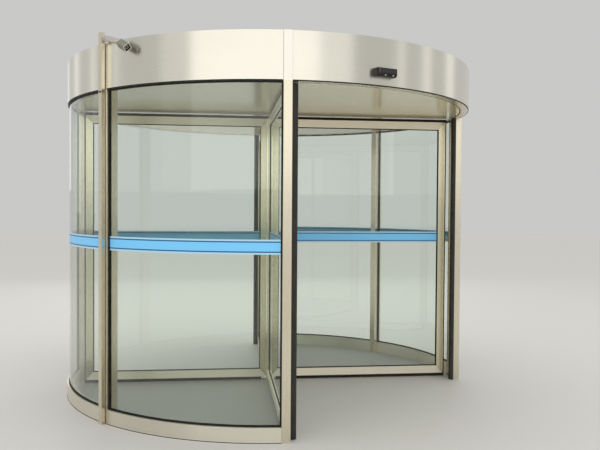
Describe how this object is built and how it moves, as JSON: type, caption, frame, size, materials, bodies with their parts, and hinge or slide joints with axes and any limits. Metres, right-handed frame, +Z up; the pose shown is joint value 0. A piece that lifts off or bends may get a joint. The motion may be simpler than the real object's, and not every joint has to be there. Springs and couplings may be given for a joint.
{
  "type": "revolving door",
  "caption": "Four-wing revolving door in a curved glass drum with stainless posts, kick plates and canopy, set in a facade line.",
  "frame": {"origin": "centre of the drum at floor level, under the floor bearing", "axes": "+X along the facade to the right as seen from the street, -Y to the street, +Z up"},
  "size_m": [3.5909, 3.4836, 2.8],
  "materials": {
    "stainless": "hairline stainless steel",
    "fascia_steel": "bright hairline stainless steel",
    "wing_frame": "hairline stainless steel",
    "clear_glass": "clear curved laminated glass with a green tint",
    "wing_glass": "clear flat glass with a green tint",
    "safety_rubber": "matt dark grey rubber",
    "black_rubber": "matt black rubber",
    "brush_pile": "black brush pile",
    "ceiling_panel": "glossy beige grey panel",
    "grey_cover": "satin beige grey",
    "sensor_black": "black plastic",
    "camera_grey": "pale grey housing"
  },
  "bodies": {
    "drum": {"post_front_left": "stainless", "post_front_right": "stainless", "post_rear_left": "stainless", "post_rear_right": "stainless", "safety_edges_front": "safety_rubber", "safety_edges_rear": "safety_rubber", "mullion_left": "stainless", "mullion_right": "stainless", "kick_plates_left": "stainless", "kick_plates_right": "stainless", "pane_front_left": "clear_glass", "pane_rear_left": "clear_glass", "pane_rear_right": "clear_glass", "pane_front_right": "clear_glass", "gaskets_left": "black_rubber", "gaskets_right": "black_rubber", "canopy_ring": "stainless", "upper_ring": "stainless", "ceiling": "ceiling_panel", "roof_cover": "grey_cover", "fascia_front": "fascia_steel", "fascia_rear": "fascia_steel", "fascia_left": "fascia_steel", "fascia_right": "fascia_steel", "fascia_strips": "stainless", "shadow_trim": "black_rubber", "header_rail": "grey_cover", "floor_bearing": "stainless", "top_bearing": "stainless", "sensor_front": "sensor_black", "sensor_rear": "sensor_black", "camera_arm": "stainless", "camera_housing": "camera_grey"},
    "rotor": {"centre_post": "stainless", "wing_1_stiles": "wing_frame", "wing_1_rails": "wing_frame", "wing_1_glass": "wing_glass", "wing_1_brushes": "brush_pile", "wing_2_stiles": "wing_frame", "wing_2_rails": "wing_frame", "wing_2_glass": "wing_glass", "wing_2_brushes": "brush_pile", "wing_3_stiles": "wing_frame", "wing_3_rails": "wing_frame", "wing_3_glass": "wing_glass", "wing_3_brushes": "brush_pile", "wing_4_stiles": "wing_frame", "wing_4_rails": "wing_frame", "wing_4_glass": "wing_glass", "wing_4_brushes": "brush_pile"}
  },
  "joints": [
    {"name": "rotor_spin", "type": "hinge", "parent": "drum", "child": "rotor", "pos_m": [0, 0, 0], "axis": [0, 0, 1], "continuous": true}
  ]
}
